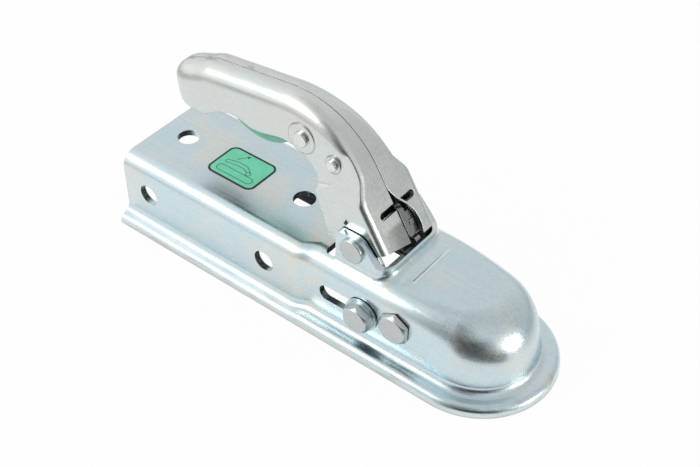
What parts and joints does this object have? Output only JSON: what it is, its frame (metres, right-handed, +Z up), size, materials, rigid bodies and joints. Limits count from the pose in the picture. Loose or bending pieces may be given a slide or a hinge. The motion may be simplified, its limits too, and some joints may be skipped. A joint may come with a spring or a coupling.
{
  "type": "trailer coupling head",
  "caption": "Pressed-steel trailer coupling head for a tow ball, with a cranked squeeze-and-lift handle, a sliding cross bolt and a swinging ball clamp.",
  "frame": {"origin": "centre of the tow ball inside the nose", "axes": "+X forwards to the towing car along the drawbar, +Y to the far side, +Z up"},
  "size_m": [0.2753, 0.0894, 0.1246],
  "materials": {
    "zinc_sheet": "blue-passivated zinc plate on pressed sheet",
    "zinc_handle": "zinc plate on pressed sheet",
    "zinc_bolt": "dull zinc plate",
    "spring_wire": "bright spring wire",
    "forged_steel": "zinc plate on a forged surface",
    "green_moulding": "matt moulded plastic"
  },
  "bodies": {
    "head": {"coupling_body": "zinc_sheet", "pivot_pin": "zinc_bolt", "front_bolt": "zinc_bolt", "clamp_spacers": "zinc_bolt"},
    "handle": {"handle_left_shell": "zinc_handle", "handle_right_shell": "zinc_handle", "pivot_bush": "zinc_bolt", "trigger_rivet": "zinc_bolt", "shell_rivet": "zinc_bolt", "shell_spacer": "zinc_bolt", "handle_spring": "spring_wire", "trigger_spring": "spring_wire"},
    "trigger": {"latch_lever": "zinc_handle", "trigger_grip": "green_moulding"},
    "slide": {"slide_bolt": "zinc_bolt", "slide_nut": "zinc_bolt", "slide_washers": "zinc_bolt", "thrust_block": "forged_steel"},
    "clamp": {"ball_clamp": "forged_steel"}
  },
  "joints": [
    {"name": "handle_lift", "type": "hinge", "parent": "head", "child": "handle", "pos_m": [-0.0666, 0, 0.04065], "axis": [0, 1, 0], "range_deg": [0, 40]},
    {"name": "trigger_squeeze", "type": "hinge", "parent": "handle", "child": "trigger", "pos_m": [-0.111, 0, 0.086], "axis": [0, 1, 0], "range_deg": [0, 2.8], "stiffness_Nm_per_rad": 0.2, "springref_deg": -5.73, "deforming": ["trigger_spring"]},
    {"name": "slide_travel", "type": "slide", "parent": "head", "child": "slide", "axis": [-1, 0, 0], "range_m": [0, 0.0244]},
    {"name": "clamp_swing", "type": "hinge", "parent": "head", "child": "clamp", "pos_m": [-0.032, 0, 0.0108], "axis": [0, 1, 0], "range_deg": [0, 22]}
  ],
  "couplings": [
    {"joint": "slide_travel", "follows": "handle_lift", "m_per_rad": 0.03495},
    {"joint": "clamp_swing", "follows": "handle_lift", "ratio": 0.55}
  ]
}
